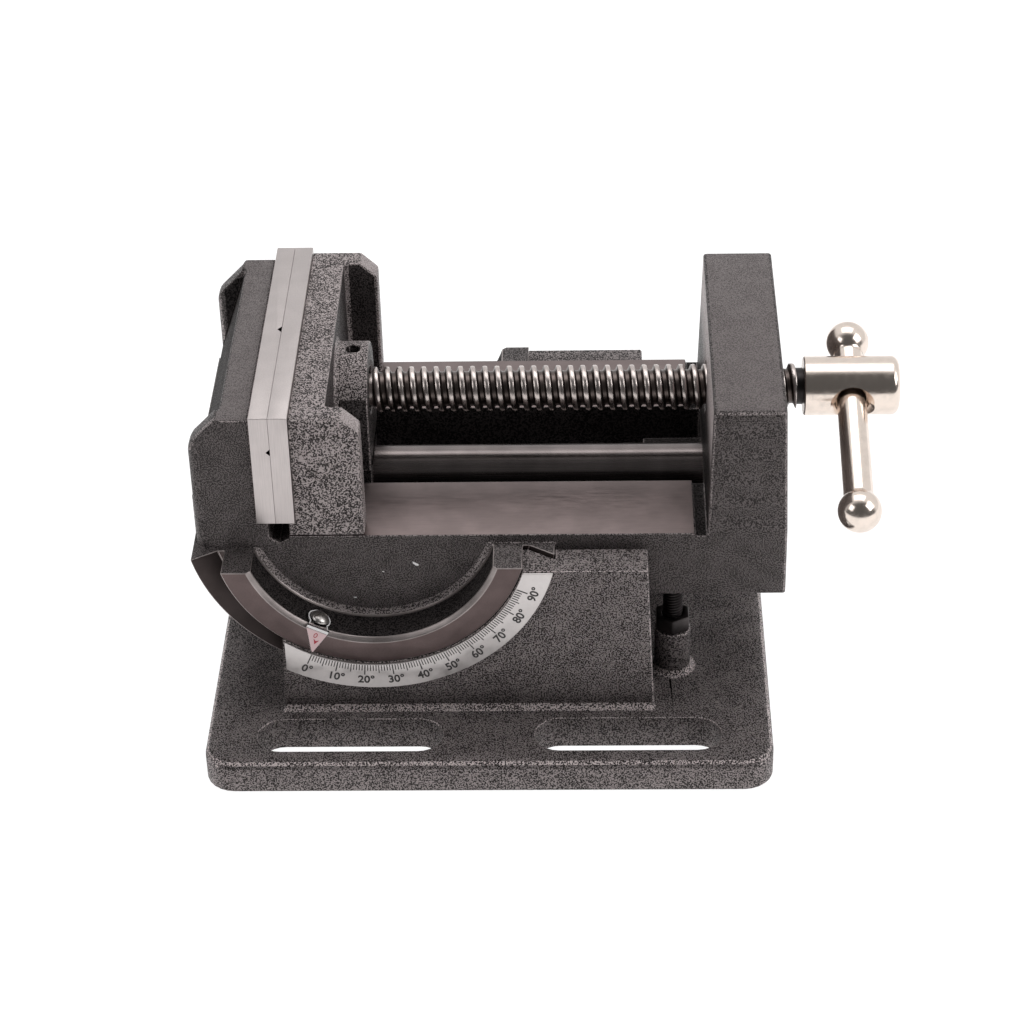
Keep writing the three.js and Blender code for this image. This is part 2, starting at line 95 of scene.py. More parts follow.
def times(tree, a, b):
    return node(tree, "Math", {0: a, 1: b}, operation="MULTIPLY").outputs[0]


def bump(tree, shader, height, depth, strength=1.0):
    made = node(tree, "Bump", {"Height": height, "Distance": depth, "Strength": strength})
    tree.links.new(made.outputs[0], shader.inputs["Normal"])


WARM = (1.0, 0.87, 0.86)        # the faint tint of the paint
SPECK = 1.7                     # how much lighter a speck is than a ridge
SHADE_GREY = 0.008                   # the grey of painted shade


def grey(level):
    return (*[level * part for part in WARM], 1)


def hammered(name, dark, light, grain, depth, rough=(0.36, 0.6), soft=0.06, gloss=0.35, shade_band=None):
    """Hammered paint: wormy pale ridges, dark hollows and a few paler specks. grain is a ridge's width, soft
    how gently ridge turns to hollow, rough the roughness of ridge and hollow, and shade_band the two
    heights between which painted shade fades: below the first the paint is shade grey, above the second clean."""
    material, tree, shader = new_material(name)
    fine = noise(tree, grain, 0.0)
    patches = ramp(tree, noise(tree, 16 * grain, 2.0), 0.3, 0.7, 0.035, -0.035)
    shifted = node(tree, "Math", {0: fine, 1: patches}, operation="ADD").outputs[0]
    ridge = ramp(tree, shifted, 0.5 - soft, 0.5 + soft)
    specks = ramp(tree, noise(tree, grain * 0.6, 1.0), 0.58, 0.72)
    colour = blend(tree, ridge, grey(dark), grey(light))
    colour = blend(tree, times(tree, specks, 0.5), colour, grey(light * SPECK))
    if shade_band:
        # painted shade: below the given heights the paint darkens to the shade grey
        place = node(tree, "TexCoord", {}).outputs["Object"]
        height = node(tree, "SeparateXYZ", {0: place}).outputs[2]
        colour = blend(tree, ramp(tree, height, *shade_band), grey(SHADE_GREY), colour)
    tree.links.new(colour, shader.inputs["Base Color"])
    tree.links.new(ramp(tree, ridge, 0, 1, rough[1], rough[0]), shader.inputs["Roughness"])
    shader.inputs["Specular IOR Level"].default_value = gloss
    shader.inputs["Specular Tint"].default_value = (1.0, 0.9, 0.89, 1)
    bump(tree, shader, ridge, depth)
    return material


def ground(name, colour, rough, stretch, depth=0.004 * MM, stain=0.12, size=0.35 * MM):
    """Machined or ground steel, with faint stains and with streaks drawn out by stretch along each axis."""
    material, tree, shader = new_material(name)
    streak = noise(tree, size, 3.0, stretch)
    cloud = ramp(tree, noise(tree, 9 * MM, 4.0), 0.35, 0.7, 1 - stain, 1.0)
    tone = times(tree, cloud, ramp(tree, streak, 0.3, 0.7, 0.9, 1.04))
    tone_colour = node(tree, "CombineColor", {0: tone, 1: tone, 2: tone}).outputs[0]
    tree.links.new(blend(tree, 1.0, (*colour, 1), tone_colour, "MULTIPLY"), shader.inputs["Base Color"])
    tree.links.new(ramp(tree, streak, 0.3, 0.7, rough * 0.85, rough * 1.2), shader.inputs["Roughness"])
    shader.inputs["Metallic"].default_value = 1.0
    bump(tree, shader, streak, depth)
    return material


def nickel(name, colour, rough):
    """Polished plate with a slight orange peel and a few dull smears."""
    material, tree, shader = new_material(name)
    peel = noise(tree, 2.2 * MM, 2.0)
    smear = ramp(tree, noise(tree, 3 * MM, 5.0), 0.35, 0.75)
    dulled = [0.9 * part for part in colour]
    tree.links.new(blend(tree, smear, (*colour, 1), (*dulled, 1)), shader.inputs["Base Color"])
    tree.links.new(ramp(tree, smear, 0, 1, rough, rough * 1.5), shader.inputs["Roughness"])
    shader.inputs["Metallic"].default_value = 1.0
    bump(tree, shader, peel, 0.02 * MM, 0.35)
    return material


def printed(name, colour, rough=0.5):
    """Ink or thin print: nearly even, with slight wear."""
    material, tree, shader = new_material(name)
    worn = ramp(tree, noise(tree, 0.5 * MM, 3.0), 0.55, 0.8)
    faded = [part + 0.12 * (0.5 - part) for part in colour]
    tree.links.new(blend(tree, worn, (*colour, 1), (*faded, 1)), shader.inputs["Base Color"])
    shader.inputs["Roughness"].default_value = rough
    return material


def clear(name, colour, rough):
    """Clear moulded acrylic with faint flow marks."""
    material, tree, shader = new_material(name)
    shader.inputs["Base Color"].default_value = (*colour, 1)
    shader.inputs["Transmission Weight"].default_value = 1.0
    shader.inputs["Roughness"].default_value = rough
    shader.inputs["IOR"].default_value = 1.49
    bump(tree, shader, noise(tree, 1.5 * MM, 1.0), 0.02 * MM, 0.3)
    return material


# ---------- materials ----------
# painted shade: the cheeks' paint darkens towards the foot
BASE_PAINT = hammered("base_paint", 0.005, 0.24, 0.42 * MM, 0.18 * MM, shade_band=(-6 * MM, 30 * MM))
# painted shade: a darker copy of the base paint for the plate's top
BASE_TOP_SHADED = hammered("base_paint_top_shaded", 0.005, 0.2, 0.42 * MM, 0.18 * MM)
# painted light: a lighter copy of the base paint for the plate's outer faces
BASE_RIM_LIT = hammered("base_paint_rim_lit", 0.006, 0.31, 0.42 * MM, 0.18 * MM)
BASE_EDGE = hammered("base_paint_worn", 0.02, 0.6, 0.4 * MM, 0.2 * MM, rough=(0.3, 0.45))
BODY_PAINT = hammered("body_paint", 0.012, 0.12, 0.38 * MM, 0.1 * MM, soft=0.08)
BODY_EDGE = hammered("body_paint_worn", 0.03, 0.34, 0.38 * MM, 0.12 * MM, rough=(0.3, 0.45))
# painted light: a lighter copy of the body paint for the fixed jaw's top faces
BODY_TOP_LIT = hammered("body_paint_top_lit", 0.07, 0.16, 0.36 * MM, 0.05 * MM, soft=0.12)
# painted light and shade: a lighter copy of the body paint for the boss's left face, darkening to shade grey
# towards its foot
BOSS_SIDE_LIT_SHADED = hammered("body_paint_side_lit_shaded", 0.3, 0.5, 0.36 * MM, 0.05 * MM, soft=0.12, gloss=0.2,
                     shade_band=(80 * MM, 99 * MM))
# painted shade: near-black paint for the body's recesses, trough and hollows
SHADE_PAINT = hammered("shade_paint", 0.006, 0.04, 0.5 * MM, 0.1 * MM, rough=(0.6, 0.8), gloss=0.08)
JAW_PAINT = hammered("jaw_paint", 0.01, 0.4, 0.4 * MM, 0.16 * MM)
JAW_DARK = hammered("jaw_paint_shaded", 0.008, 0.075, 0.42 * MM, 0.14 * MM, gloss=0.15)
# painted light: a lighter copy of the jaw paint, with a finer grain, for the slopes that face up and towards the
# handle
JAW_SLOPE_LIT = hammered("jaw_paint_fine_lit", 0.2, 0.42, 0.35 * MM, 0.06 * MM, soft=0.1, rough=(0.4, 0.5))
JAW_EDGE = hammered("jaw_paint_worn", 0.04, 0.42, 0.4 * MM, 0.14 * MM, rough=(0.3, 0.45))
WAY = ground("ground_way", (0.25, 0.2, 0.194), 0.38, (20, 1, 1), stain=0.15, depth=0.0015 * MM,
             size=0.25 * MM)
RING_FACE = ground("turned_ring", (0.14, 0.105, 0.102), 0.42, (1, 1, 1), stain=0.2)
# painted shade: a darker copy of the turned ring steel for the flanges, under the cheeks
FLANGE_FACE_SHADED = ground("turned_flange_shaded", (0.075, 0.06, 0.058), 0.45, (1, 1, 1), stain=0.2)
# painted highlight and wear: a lighter copy of the turned steel for the rings' chamfers and rounded edges
RING_EDGE_HIGHLIGHT = ground("turned_edge_highlight", (0.42, 0.37, 0.36), 0.4, (1, 1, 1), stain=0.3)
PLATE_STEEL = ground("ground_plate", (0.56, 0.51, 0.5), 0.38, (1, 1, 26), stain=0.07)
BAR_STEEL = ground("drawn_bar", (0.26, 0.225, 0.22), 0.26, (80, 1, 1), stain=0.2)
THREAD_STEEL = ground("thread_steel", (0.68, 0.6, 0.57), 0.27, (1, 12, 12), stain=0.25, depth=0.006 * MM)
# painted shade: a darker copy of the thread steel for the thread's flanks and roots
ROOT_SHADE_STEEL = ground("thread_root_shaded", (0.16, 0.13, 0.12), 0.34, (1, 12, 12), stain=0.35, depth=0.006 * MM)
NECK_STEEL = ground("neck_steel", (0.05, 0.045, 0.045), 0.4, (1, 12, 12), stain=0.35)
BLACK_STEEL = ground("blackened_steel", (0.09, 0.08, 0.08), 0.4, (1, 1, 1), stain=0.4, size=0.6 * MM)
BRIGHT_STEEL = ground("zinc_steel", (0.55, 0.52, 0.5), 0.3, (1, 1, 1), stain=0.1)
SCALE_METAL = ground("scale_metal", (0.66, 0.62, 0.61), 0.44, (8, 1, 8), stain=0.06)
NICKEL = nickel("nickel", (0.83, 0.725, 0.65), 0.17)
INK = printed("black_ink", (0.03, 0.025, 0.025))
RED_INK = printed("red_ink", (0.42, 0.03, 0.05))
PALE_PRINT = printed("pale_print", (0.72, 0.52, 0.53), 0.35)
WHITE_LINE = printed("white_line", (0.86, 0.84, 0.84), 0.3)
CLEAR = clear("clear_acrylic", (0.97, 0.95, 0.95), 0.04)


# ---------- meshes ----------
def add(name, mesh, body, materials, replaced=()):
    """Puts a finished mesh in the scene as a piece that rides on a CAD body."""
    piece = bpy.data.objects.new(name, mesh)
    bpy.context.scene.collection.objects.link(piece)
    for material in materials:
        mesh.materials.append(material)
    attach(piece, body)
    if replaced:
        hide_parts(*replaced)
    return piece


def apply_modifiers(piece):
    graph = bpy.context.evaluated_depsgraph_get()
    mesh = bpy.data.meshes.new_from_object(piece.evaluated_get(graph))
    piece.modifiers.clear()
    piece.data = mesh


def smooth_by_angle(mesh, angle=32):
    mesh.shade_smooth()
    bm = bmesh.new()
    bm.from_mesh(mesh)
    for edge in bm.edges:
        edge.smooth = edge.is_manifold and edge.calc_face_angle() < radians(angle)
    bm.to_mesh(mesh)
    bm.free()


WIDEST_RADIUS = 6 * MM          # a bevel weight of 1


def is_sharp(edge):
    """Whether an edge turns more than the facets of a round do."""
    return edge.is_manifold and edge.calc_face_angle() > radians(22)


def room_for(edge):
    """The largest radius that fits an edge, from the short sharp edges that meet it."""
    ahead = (edge.verts[0].co - edge.verts[1].co).normalized()
    room = 1.0
    for vert in edge.verts:
        for other in vert.link_edges:
            if other is edge or not is_sharp(other):
                continue
            direction = (other.verts[0].co - other.verts[1].co).normalized()
            if abs(direction.dot(ahead)) < 0.94:
                room = min(room, 0.45 * other.calc_length())
    return room


def rounded(node_name, name, body, slot, materials, radius, finish=None, worn=None, merge=0.1 * MM,
            adjust=None, cuts=()):
    """A copy of a CAD node with its edges rounded. radius is a number or radius(middle of edge), and
    finish(face) gives a face's material, the first one if it is left out. The last material goes on the
    rounded edges unless worn(face) gives another. merge is the distance within which corners become one.
    adjust(point) may shift a corner first, and cuts are the places along X where flat faces are split,
    through the middle of round feet that stand on them."""
    bm = bmesh.new()
    bm.from_mesh(frame["nodes"][node_name].data)
    bmesh.ops.remove_doubles(bm, verts=bm.verts, dist=merge)
    kept = set()
    for x in cuts:
        geometry = bm.verts[:] + bm.edges[:] + bm.faces[:]
        made = bmesh.ops.bisect_plane(bm, geom=geometry, dist=1e-6, plane_co=(x, 0, 0), plane_no=(1, 0, 0))
        kept.update(part for part in made["geom_cut"] if isinstance(part, bmesh.types.BMEdge))
    loose = [edge for edge in bm.edges if edge not in kept]
    bmesh.ops.dissolve_limit(bm, angle_limit=radians(0.6), verts=bm.verts[:], edges=loose)
    for vert in bm.verts if adjust else ():
        vert.co = adjust(vert.co)
    weight = bm.edges.layers.float.new("bevel_weight_edge")
    for edge in bm.edges:
        if is_sharp(edge):
            middle = (edge.verts[0].co + edge.verts[1].co) / 2
            wanted = radius(middle) if callable(radius) else radius
            edge[weight] = min(wanted, room_for(edge)) / WIDEST_RADIUS
    for face in bm.faces:
        face.material_index = materials.index(finish(face)) if finish else 0
    mesh = bpy.data.meshes.new(name)
    bm.to_mesh(mesh)
    bm.free()
    piece = add(name, mesh, body, materials, [node_name])
    bevel = piece.modifiers.new("round", "BEVEL")
    bevel.limit_method = "WEIGHT"
    bevel.width = WIDEST_RADIUS
    bevel.offset_type = "OFFSET"
    bevel.segments = 3
    bevel.use_clamp_overlap = False
    bevel.miter_outer = "MITER_ARC"
    bevel.material = len(materials) - 1
    apply_modifiers(piece)
    low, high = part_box(node_name)
    for vert in piece.data.vertices if not adjust else ():      # no mitred corner stands out past the node
        vert.co = [min(max(part, a), b) for part, a, b in zip(vert.co, low, high)]
    for face in piece.data.polygons if worn else ():
        if face.material_index == len(materials) - 1:
            face.material_index = materials.index(worn(face))
    smooth_by_angle(piece.data)
    return piece


def along(origin, direction):
    """A frame at origin whose Z axis points along direction."""
    return Matrix.Translation(origin) @ Vector(direction).to_track_quat("Z", "Y").to_matrix().to_4x4()


def revolved(name, rows, place, segments=96, sharp=35):
    """A surface of revolution, closed at both ends, from rows of a height and a radius or radius(angle)."""
    mesh = bpy.data.meshes.new(name)
    verts = []
    for height, radius in rows:
        for i in range(segments):
            turn = 2 * pi * i / segments
            r = radius(turn) if callable(radius) else radius
            verts.append(place @ Vector((r * cos(turn), r * sin(turn), height)))
    faces = []
    for k in range(len(rows) - 1):
        for i in range(segments):
            j = (i + 1) % segments
            a, b = k * segments, (k + 1) * segments
            faces.append((a + i, a + j, b + j, b + i))
    last = (len(rows) - 1) * segments
    faces.append(tuple(range(segments - 1, -1, -1)))
    faces.append(tuple(range(last, last + segments)))
    mesh.from_pydata(verts, [], faces)
    smooth_by_angle(mesh, sharp)
    return mesh


def corner(x, r, size, start, end, steps):
    """Points on a profile's rounded corner: radius size round (x, r), from start to end in degrees."""
    turns = [radians(start + (end - start) * i / steps) for i in range(steps + 1)]
    return [(x + size * cos(t), r + size * sin(t)) for t in turns]


def plate_mesh(name, outline, thickness):
    """A flat plate with this outline in its XY plane, from z = 0 up to thickness."""
    count = len(outline)
    bm = bmesh.new()
    low, high = ([bm.verts.new((x, y, z)) for x, y in outline] for z in (0, thickness))
    bm.faces.new(low[::-1])
    bm.faces.new(high)
    for i in range(count):
        j = (i + 1) % count
        bm.faces.new((low[i], low[j], high[j], high[i]))
    bmesh.ops.recalc_face_normals(bm, faces=bm.faces)
    mesh = bpy.data.meshes.new(name)
    bm.to_mesh(mesh)
    bm.free()
    return mesh


def box_outline(x0, y0, x1, y1):
    return [(x0, y0), (x1, y0), (x1, y1), (x0, y1)]


def joined(name, meshes):
    """One mesh from (mesh, matrix, material index) rows. None keeps a mesh's own material indices."""
    bm = bmesh.new()
    for mesh, matrix, index in meshes:
        first_vert, first_face = len(bm.verts), len(bm.faces)
        bm.from_mesh(mesh)
        bm.verts.ensure_lookup_table()
        bmesh.ops.transform(bm, matrix=matrix, verts=bm.verts[first_vert:])
        bm.faces.ensure_lookup_table()
        for face in bm.faces[first_face:] if index is not None else ():
            face.material_index = index
    made = bpy.data.meshes.new(name)
    bm.to_mesh(made)
    bm.free()
    return made


def lettering(text, size, thickness, weight=0.0):
    """Solid letters centred on the origin, in the XY plane."""
    curve = bpy.data.curves.new("lettering", "FONT")
    curve.body = text
    curve.size = size
    curve.extrude = thickness / 2
    curve.offset = weight
    curve.align_x = "CENTER"
    curve.align_y = "CENTER"
    curve.resolution_u = 4
    letters = bpy.data.objects.new("lettering", curve)
    bpy.context.scene.collection.objects.link(letters)
    graph = bpy.context.evaluated_depsgraph_get()
    mesh = bpy.data.meshes.new_from_object(letters.evaluated_get(graph))
    bpy.data.objects.remove(letters)
    return mesh


# ---------- castings ----------
# Places on the vise, in millimetres. "across" is the distance from its middle, to the front or the rear.
PLATE_TOP = 11
STOP_BOSS = (55.8, 41)          # a stop boss's axis, along and across
SLOT = (41.8, 74.8)             # a mounting slot's middle, along and across
CHEEK_ARC = 57                  # the cheeks' arcs and their rims are nearer to the tilt axis than this
RING_INNER = 38
BED_TOP = 66.1
BED_SIDE = 49
JAW_REAR = 45.3                 # the fixed jaw's rear end
WINGS = (-41.5, 37.8)           # the inner sides of the fixed jaw's wings
RECESS = -77                    # the recess between the wings
SEAM = -62.25                   # the plane where the jaw plates meet


def in_mm(p):
    return [part / MM for part in p]


def near(value, target, within=0.35):
    return abs(value - target) < within


def cradle_distance(p):
    """How far a point is from the tilt axis, in millimetres."""
    return hypot(p.x - TILT.x, p.z - TILT.z) / MM


def rubbed(face):
    """Whether a strip of a rounded edge faces halfway between its neighbours, where the paint is rubbed."""
    parts = sorted(abs(part) for part in face.normal)
    return parts[1] > 0.72 * parts[2]


def base_radius(p):
    x, across, z = p.x / MM, abs(p.y) / MM, p.z / MM
    if z < 0.5:
        return (0.8 if across > 84 or abs(x) > 80 else 0.25) * MM
    if near(z, PLATE_TOP):
        if across < 62.6 and -63 < x < 62:      # the feet of the cheeks, the walls and the bosses
            return 1.7 * MM
        slot = abs(abs(x) - SLOT[0]) < 28.5 and abs(across - SLOT[1]) < 8
        return (0.5 if slot else 2.4) * MM
    return (0.3 if cradle_distance(p) < CHEEK_ARC else 0.7) * MM


def base_finish(face):
    """The plate's outer faces get a lighter copy of the paint as painted light and its top a darker copy as
    painted shade; the cheeks get painted shade towards the foot.
    """
    x, y, z = in_mm(face.calc_center_median())
    if z > 12:
        return BASE_PAINT
    return BASE_RIM_LIT if max(abs(x), abs(y)) > 80 and abs(face.normal.z) < 0.5 else BASE_TOP_SHADED


def base_worn(face):
    x, across, z = face.center.x / MM, abs(face.center.y) / MM, face.center.z / MM
    foot = 61.5 < across < 64.5 or hypot(x - STOP_BOSS[0], across - STOP_BOSS[1]) < 8
    if rubbed(face) or (foot and z < 13) or cradle_distance(face.center) < CHEEK_ARC:
        return BASE_EDGE
    return BASE_TOP_SHADED if z < 13 else BASE_PAINT


def fixed_jaw_radius(x, y, z):
    if near(y, WINGS[0]) or near(y, WINGS[1]):
        return (2.5 if near(x, RECESS, 0.5) else 2.6) * MM
    if x < -86 and z > 77 and (near(y, -BED_SIDE) or near(y, JAW_REAR)):        # the back's upright edges
        return 3.2 * MM
    if (x < -80 and z > 97) or (x < -77.5 and z > 106):     # the back's top edge
        return 2.6 * MM
    return (1.6 if x < -86 else 0.7) * MM


def body_radius(p):
    x, y, z = in_mm(p)
    across = abs(y)
    if x < -64 and z > 66.6:
        return fixed_jaw_radius(x, y, z)
    if x < -84:                                 # the bed's thin left end
        return 0.15 * MM
    if near(across, BED_SIDE, 0.6) and near(cradle_distance(p), RING_INNER, 1):     # a ring meets the bed
        return 2.0 * MM
    if across > 50 or (near(z, BED_TOP) and x < 67):        # the rings and the ways
        return 0.25 * MM
    if x > 85 and z < 45:                       # under the boss
        return 2.8 * MM
    return (1.5 if x > 60 and across > 40 else 0.9) * MM


def body_finish(face):
    x, y, z = in_mm(face.calc_center_median())
    normal = face.normal
    rim = [cradle_distance(vert.co) for vert in face.verts]
    across = [abs(vert.co.y) / MM for vert in face.verts]
    if normal.z > 0.99 and near(z, BED_TOP):
        return WAY
    # the flanges nearer the bed get a darker copy of the turned steel as painted shade
    if min(across) > 50 and abs(normal.y) > 0.6 and min(rim) > RING_INNER + 1:
        return RING_FACE if min(across) > 61 else FLANGE_FACE_SHADED
    # painted highlight and wear on the rings' chamfers
    if min(across) > 60 and 0.3 < abs(normal.y) < 0.95:
        return RING_EDGE_HIGHLIGHT
    # painted light on the fixed jaw's top faces
    if normal.z > 0.95 and z > 100:
        return BODY_TOP_LIT
    # painted light on the boss's left face, with painted shade low down
    if normal.x < -0.9 and x > 65 and z > 70:
        return BOSS_SIDE_LIT_SHADED
    # painted shade: the recess between the wings, the trough, the slot by the boss, the groove under the plates,
    # the wall inside the rings and the flange's top at the left end
    recess = x < RECESS + 0.5 and -41.6 < y < 37.9 and 76.5 < z < 106.5
    trough = max(across) < 21 and 39 < z < 66 and x < 66
    relief = 61 < x < 66.9 and z > 64 and normal.y > -0.5       # the slot between the ways and the boss
    groove = -65 < x < -58.4 and 63 < z < 66                    # in the ways, under the jaw plates
    ring_wall = max(rim) < RING_INNER + 0.5 and max(across) > 55
    left_end = normal.z > 0.9 and min(across) > BED_SIDE and x < -60 and z < 64
    dark = recess or trough or relief or groove or ring_wall or left_end
    return SHADE_PAINT if dark else BODY_PAINT


def body_worn(face):
    """The middle of a rounded edge is rubbed bright; the broad roundings keep their paint."""
    across, z = abs(face.center.y) / MM, face.center.z / MM
    # the rings' rounded edges get the lighter turned steel: painted highlight and wear
    if across > 50:
        return RING_EDGE_HIGHLIGHT
    ring_foot = abs(cradle_distance(face.center) - RING_INNER) < 4 and across > 46 and z < 66
    narrow = face.area < 40 * MM * MM
    return BODY_EDGE if ring_foot or (rubbed(face) and narrow) else BODY_PAINT


def jaw_radius(p):
    x, across, z = p.x / MM, abs(p.y) / MM, p.z / MM
    if z < 66:                                  # the tongue between the ways
        return 0.3 * MM
    if near(x, -56.45):                         # against the jaw plate
        return 0.15 * MM
    if near(x, -46.3) and across < 42 and z < 106:          # the foot of the wings and the screw block
        return 1.4 * MM
    return (1.0 if x > -36.5 and across > 40 and z < 101 else 0.45) * MM


def jaw_finish(face):
    x, y, z = in_mm(face.calc_center_median())
    normal = face.normal
    # painted light on the slopes facing up and towards the handle
    if normal.x > 0.5 and normal.z > 0.5:
        return JAW_SLOPE_LIT
    pocket = abs(y) < 41.7 and x > -46.6 and z < 106.6
    return JAW_DARK if pocket and normal.z < 0.3 else JAW_PAINT


def castings():
    base_materials = [BASE_PAINT, BASE_TOP_SHADED, BASE_RIM_LIT, BASE_EDGE]
    rounded("base_casting", "base_body", "base", "hammered_paint", base_materials, base_radius, base_finish,
            base_worn, cuts=[STOP_BOSS[0] * MM])
    body_materials = [BODY_PAINT, WAY, RING_FACE, RING_EDGE_HIGHLIGHT, SHADE_PAINT, FLANGE_FACE_SHADED, BODY_TOP_LIT, BOSS_SIDE_LIT_SHADED,
                      BODY_EDGE]
    rounded("vise_body", "tilting_body", "body", "hammered_paint", body_materials, body_radius, body_finish,
            body_worn, merge=0.2 * MM)
    jaw_materials = [JAW_PAINT, JAW_SLOPE_LIT, JAW_DARK, JAW_EDGE]
    rounded("moving_jaw", "sliding_jaw", "jaw", "hammered_paint", jaw_materials, jaw_radius, jaw_finish,
            merge=0.3 * MM)


# ---------- plates, fasteners and bars ----------
def seam_distance(p):
    return abs(p.x / MM - SEAM)


def towards_seam(p):
    """The closed jaw plates all but touch, and sit tight against their jaws."""
    reach = seam_distance(p)
    for cad, seen in ((0.15, 0.05), (5.5, 5.7)):            # the plates' inner and outer faces
        if abs(reach - cad) < 0.1:
            return Vector(((SEAM + copysign(seen, p.x / MM - SEAM)) * MM, p.y, p.z))
    return p


def plate_radius(p):
    return (0.02 if seam_distance(p) < 1.4 else 0.22) * MM


def plate_finish(face):
    """The V grooves in the plates' inner faces are dark."""
    groove = 0.2 < abs(face.normal.x) < 0.95 and seam_distance(face.calc_center_median()) < 1.3
    return BLACK_STEEL if groove else PLATE_STEEL


def small_parts():
    for node_name, name, body in (("fixed_jaw_plate", "fixed_plate", "body"),
                                  ("moving_jaw_plate", "moving_plate", "jaw")):
        rounded(node_name, name, body, "ground_steel", [PLATE_STEEL, BLACK_STEEL, PLATE_STEEL], plate_radius,
                plate_finish, adjust=towards_seam)
    rounded("scale_plate", "scale_strip", "base", "scale_aluminium", [SCALE_METAL], 0.15 * MM)
    black = "black_steel", [BLACK_STEEL]
    for end in ("front", "rear"):
        rounded(f"stop_nut_{end}", f"jam_nut_{end}", "base", *black, 0.5 * MM)
        rounded(f"fixed_plate_screw_{end}", f"fixed_screw_{end}", "body", *black, 0.2 * MM)
        rounded(f"moving_plate_screw_{end}", f"moving_screw_{end}", "jaw", *black, 0.2 * MM)
    rounded("tilt_lock_bolt", "lock_bolt", "tilt_lock", *black, 0.7 * MM)
    rounded("tilt_lock_washer", "lock_washer", "base", "bright_steel", [BRIGHT_STEEL], 0.3 * MM)
    rounded("screw_retaining_pin", "nose_pin", "jaw", *black, 0.4 * MM)
    rounded("guide_bar_set_screw", "bar_set_screw", "body", *black, 0.4 * MM)


def guide_bar():
    low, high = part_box("guide_bar")
    r = (high.z - low.z) / 2
    length = high.x - low.x
    chamfer = 1 * MM
    rows = [(0, r - chamfer), (chamfer, r), (length - chamfer, r), (length, r - chamfer)]
    mesh = revolved("guide_rod", rows, along(Vector((low.x, 0, (low.z + high.z) / 2)), (1, 0, 0)))
    add("guide_rod", mesh, "body", [BAR_STEEL], ["guide_bar"])


STOP_PITCH = 1 * MM


def stop_thread(crest, root):
    """radius(height, turn) of a stop screw's right-hand thread, with softened corners."""
    def radius(height, turn):
        part = (height / STOP_PITCH - turn / (2 * pi)) % 1.0
        across = abs(part - 0.5) * 2            # 1 on the crest's middle, 0 in the root's middle
        rise = min(max((across - 0.4) / 0.26, 0), 1)
        return root + (crest - root) * rise * rise * (3 - 2 * rise)
    return radius


def thread_rows(start, end, shape, steps_per_pitch=8):
    count = int(round((end - start) / STOP_PITCH * steps_per_pitch))
    heights = [start + (end - start) * i / count for i in range(count + 1)]
    return [(height, lambda turn, height=height: shape(height, turn)) for height in heights]


def stop_screws():
    for end in ("front", "rear"):
        name = f"stop_stud_{end}"
        low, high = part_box(f"stop_screw_{end}")
        r = (high.x - low.x) / 2
        middle = (low + high) / 2
        length = high.z - low.z
        rows = [(0, r - 0.9 * MM), *thread_rows(0.5 * MM, length - 1.0 * MM, stop_thread(r, r - 0.6 * MM)),
                (length - 0.9 * MM, r - 0.7 * MM), (length, r - 1.1 * MM)]
        place = along(Vector((middle.x, middle.y, low.z)), (0, 0, 1))
        mesh = revolved(name, rows, place, segments=40, sharp=50)
        add(name, mesh, f"stop_{end}", [BLACK_STEEL], [f"stop_screw_{end}"])


# ---------- lead screw and handle ----------
SCREW_START = -35.5 * MM        # first thread, beside the moving jaw
SCREW_END = 93.9 * MM           # last thread, beyond the boss
PLAIN_R = 4.98 * MM             # the screw where it has no thread
PIN_GROOVE = (-43.4 * MM, -38.6 * MM, 4 * MM)           # its ends and radius, round the retaining pin
COLLAR = (96 * MM, 5.58 * MM)   # its right end and radius, after the last thread
CREST_AT = 3.45 * MM            # a crest's place along X at CREST_TURN round from Y towards Z
CREST_TURN = radians(145)
THREAD = [(0, 5.3), (0.14, 5.35), (0.2, 5.6), (0.28, 6.4), (0.32, 6.82), (0.4, 6.94), (0.5, 6.98),
          (0.6, 6.94), (0.68, 6.82), (0.72, 6.4), (0.8, 5.6), (0.86, 5.35)]   # part of a pitch, radius in mm
CREST_R = 6.6 * MM              # outside this the thread is bright steel; nearer the axis its flanks and roots get a darker copy, as painted shade
TURN_STEPS = 48


def thread_mesh():
    """The thread as one strip wound round the axis, cut square at both ends."""
    bm = bmesh.new()
    origin = CREST_AT - PITCH * (CREST_TURN / (2 * pi) + 0.5)
    first = int((SCREW_START - origin) / PITCH - 2) * TURN_STEPS
    last = int((SCREW_END - origin) / PITCH + 2) * TURN_STEPS
    rows = []
    for i in range(first, last + 1):
        turn = 2 * pi * i / TURN_STEPS
        rows.append([bm.verts.new((origin + PITCH * (i / TURN_STEPS + part), r * MM * cos(turn),
                                   SCREW_AXIS.z + r * MM * sin(turn))) for part, r in THREAD])
    for i in range(len(rows) - 1):
        a, b = rows[i], rows[i + 1]
        for j in range(len(THREAD) - 1):
            bm.faces.new((a[j], b[j], b[j + 1], a[j + 1]))
        if i + TURN_STEPS + 1 < len(rows):
            c, d = rows[i + TURN_STEPS], rows[i + TURN_STEPS + 1]
            bm.faces.new((a[-1], b[-1], d[0], c[0]))
    for x, side in ((SCREW_START, -1), (SCREW_END, 1)):
        geometry = bm.verts[:] + bm.edges[:] + bm.faces[:]
        bmesh.ops.bisect_plane(bm, geom=geometry, plane_co=(x, 0, 0), plane_no=(side, 0, 0), clear_outer=True)
        rim = [edge for edge in bm.edges if edge.is_boundary and abs(edge.verts[0].co.x - x) < 1e-7]
        bmesh.ops.contextual_create(bm, geom=rim)
    bmesh.ops.recalc_face_normals(bm, faces=bm.faces)
    for face in bm.faces:
        centre = face.calc_center_median()
        # faces nearer the axis than CREST_R get the darker root steel: painted shade
        face.material_index = 0 if hypot(centre.y, centre.z - SCREW_AXIS.z) > CREST_R else 1
    mesh = bpy.data.meshes.new("thread")
    bm.to_mesh(mesh)
    bm.free()
    return mesh


